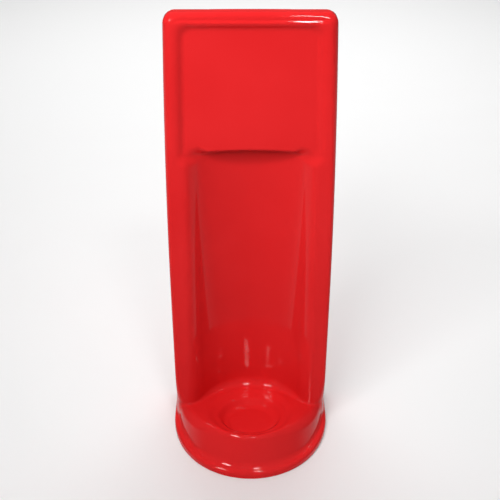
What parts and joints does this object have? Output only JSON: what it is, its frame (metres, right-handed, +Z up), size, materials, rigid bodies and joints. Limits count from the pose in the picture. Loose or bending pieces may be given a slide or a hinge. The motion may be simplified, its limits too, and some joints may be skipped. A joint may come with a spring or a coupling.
{
  "type": "fire extinguisher stand",
  "caption": "Free-standing red moulded stand for one fire extinguisher: stepped round seat, tall alcove, recessed blank sign panel.",
  "frame": {"origin": "on the floor, at the middle of the width and depth of the box the stand fills", "axes": "+Z up, the stand faces -Y, +X to its right as a viewer in front sees it"},
  "size_m": [0.28, 0.222, 0.736],
  "materials": {
    "red_shell": "high gloss moulded",
    "red_panel": "satin sheet",
    "black_plastic": "moulded, fine texture",
    "rubber": "matt",
    "rivet_aluminium": "satin",
    "zinc_steel": "zinc plated"
  },
  "bodies": {
    "root": {"front_shell": "red_shell", "rear_panel": "red_panel", "base_plate": "black_plastic", "seat_support": "black_plastic", "foot_front_left": "rubber", "foot_front_right": "rubber", "foot_rear_left": "rubber", "foot_rear_right": "rubber", "foot_screw_front_left": "zinc_steel", "foot_screw_front_right": "zinc_steel", "foot_screw_rear_left": "zinc_steel", "foot_screw_rear_right": "zinc_steel", "rear_rivet_left_1": "rivet_aluminium", "rear_rivet_left_2": "rivet_aluminium", "rear_rivet_left_3": "rivet_aluminium", "rear_rivet_left_4": "rivet_aluminium", "rear_rivet_right_1": "rivet_aluminium", "rear_rivet_right_2": "rivet_aluminium", "rear_rivet_right_3": "rivet_aluminium", "rear_rivet_right_4": "rivet_aluminium", "rear_rivet_top_left": "rivet_aluminium", "rear_rivet_top_right": "rivet_aluminium"}
  },
  "joints": []
}
